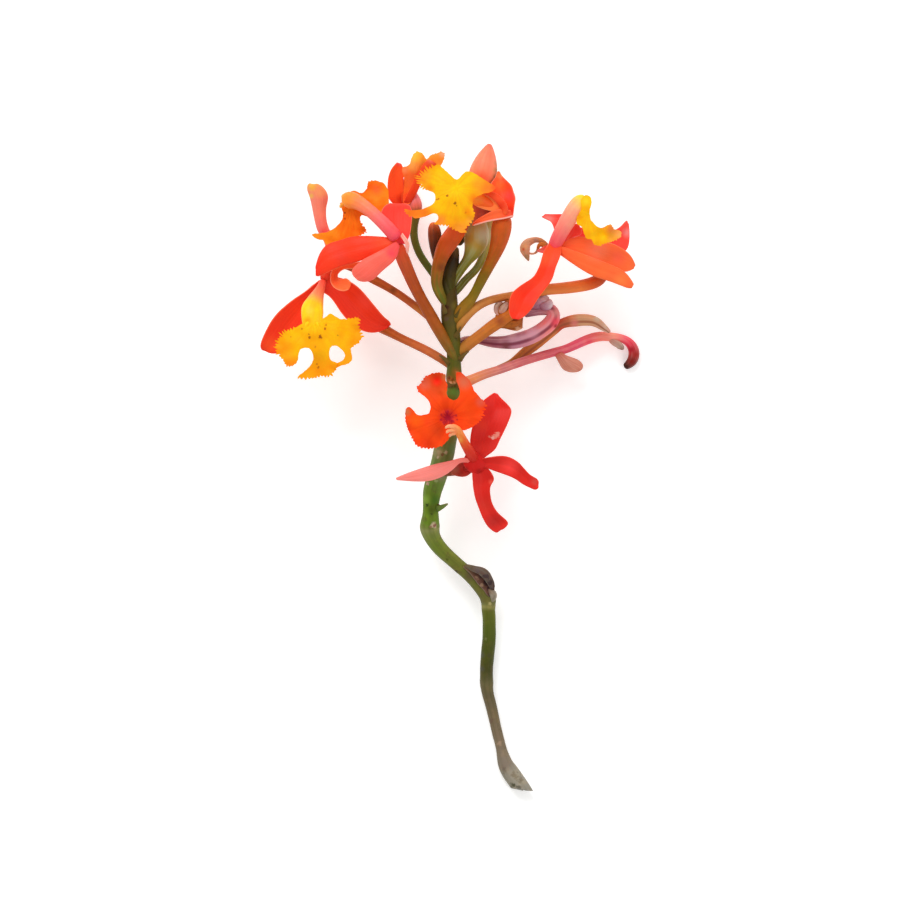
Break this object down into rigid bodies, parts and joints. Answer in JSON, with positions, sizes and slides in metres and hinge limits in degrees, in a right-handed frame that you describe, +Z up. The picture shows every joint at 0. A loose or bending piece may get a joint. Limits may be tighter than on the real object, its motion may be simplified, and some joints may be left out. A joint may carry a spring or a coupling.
{
  "type": "epidendrum orchid",
  "caption": "Cut flowering stem of a reed-stem orchid: a crooked green stalk with a head of orange-red flowers, yellow and orange fringed lips, buds and withered flowers.",
  "frame": {"origin": "middle of the footprint, on the surface the stem lies on", "axes": "+Y along the stem from its cut end to the flower head, +Z up, +X to the right when the flowers are looked down on with the head at the top"},
  "size_m": [0.0762, 0.1314, 0.0384],
  "materials": {
    "stem": "satin green skin, grey-brown towards the cut end",
    "flower_stalk": "satin, rust orange turning olive towards the stem",
    "column": "satin, pink turning yellow at the end",
    "tepal": "satin orange-red petal skin with fine veins",
    "yellow_lip": "matte golden yellow petal skin with orange margins and red spots",
    "orange_lip": "matte orange petal skin with a crimson throat",
    "bud": "satin, salmon pink",
    "green_bud": "satin olive green",
    "withered": "matte, dusty pink and purple",
    "dry_bract": "matte dry brown"
  },
  "bodies": {
    "root": {"main_stem": "stem", "lower_left_flower_pedicel": "flower_stalk", "lower_left_flower_column": "column", "lower_left_flower_lip": "yellow_lip", "lower_left_flower_dorsal_sepal": "tepal", "lower_left_flower_left_sepal": "tepal", "lower_left_flower_right_sepal": "tepal", "lower_left_flower_left_petal": "tepal", "lower_left_flower_right_petal": "tepal", "upper_left_flower_pedicel": "flower_stalk", "upper_left_flower_column": "column", "upper_left_flower_lip": "orange_lip", "upper_left_flower_dorsal_sepal": "tepal", "upper_left_flower_left_sepal": "tepal", "upper_left_flower_right_sepal": "tepal", "upper_left_flower_left_petal": "tepal", "upper_left_flower_right_petal": "tepal", "top_flower_pedicel": "flower_stalk", "top_flower_column": "column", "top_flower_lip": "orange_lip", "top_flower_dorsal_sepal": "tepal", "top_flower_left_sepal": "tepal", "top_flower_right_sepal": "tepal", "top_flower_left_petal": "tepal", "top_flower_right_petal": "tepal", "crown_flower_pedicel": "flower_stalk", "crown_flower_column": "column", "crown_flower_lip": "yellow_lip", "crown_flower_dorsal_sepal": "tepal", "crown_flower_left_sepal": "tepal", "crown_flower_right_sepal": "tepal", "crown_flower_left_petal": "tepal", "crown_flower_right_petal": "tepal", "right_flower_pedicel": "flower_stalk", "right_flower_column": "column", "right_flower_lip": "yellow_lip", "right_flower_dorsal_sepal": "tepal", "right_flower_left_sepal": "tepal", "right_flower_right_sepal": "tepal", "right_flower_left_petal": "tepal", "right_flower_right_petal": "tepal", "front_flower_pedicel": "flower_stalk", "front_flower_column": "column", "front_flower_lip": "orange_lip", "front_flower_dorsal_sepal": "tepal", "front_flower_left_sepal": "tepal", "front_flower_right_sepal": "tepal", "front_flower_left_petal": "tepal", "front_flower_right_petal": "tepal", "large_bud": "bud", "pale_bud": "green_bud", "dark_bud": "green_bud", "stalked_bud": "green_bud", "hidden_bud": "bud", "purple_pod": "withered", "brown_pod": "dry_bract", "pink_stalk": "withered", "curled_stalk": "dry_bract", "hanging_sepal": "withered", "dry_sheath": "dry_bract"}
  },
  "joints": []
}
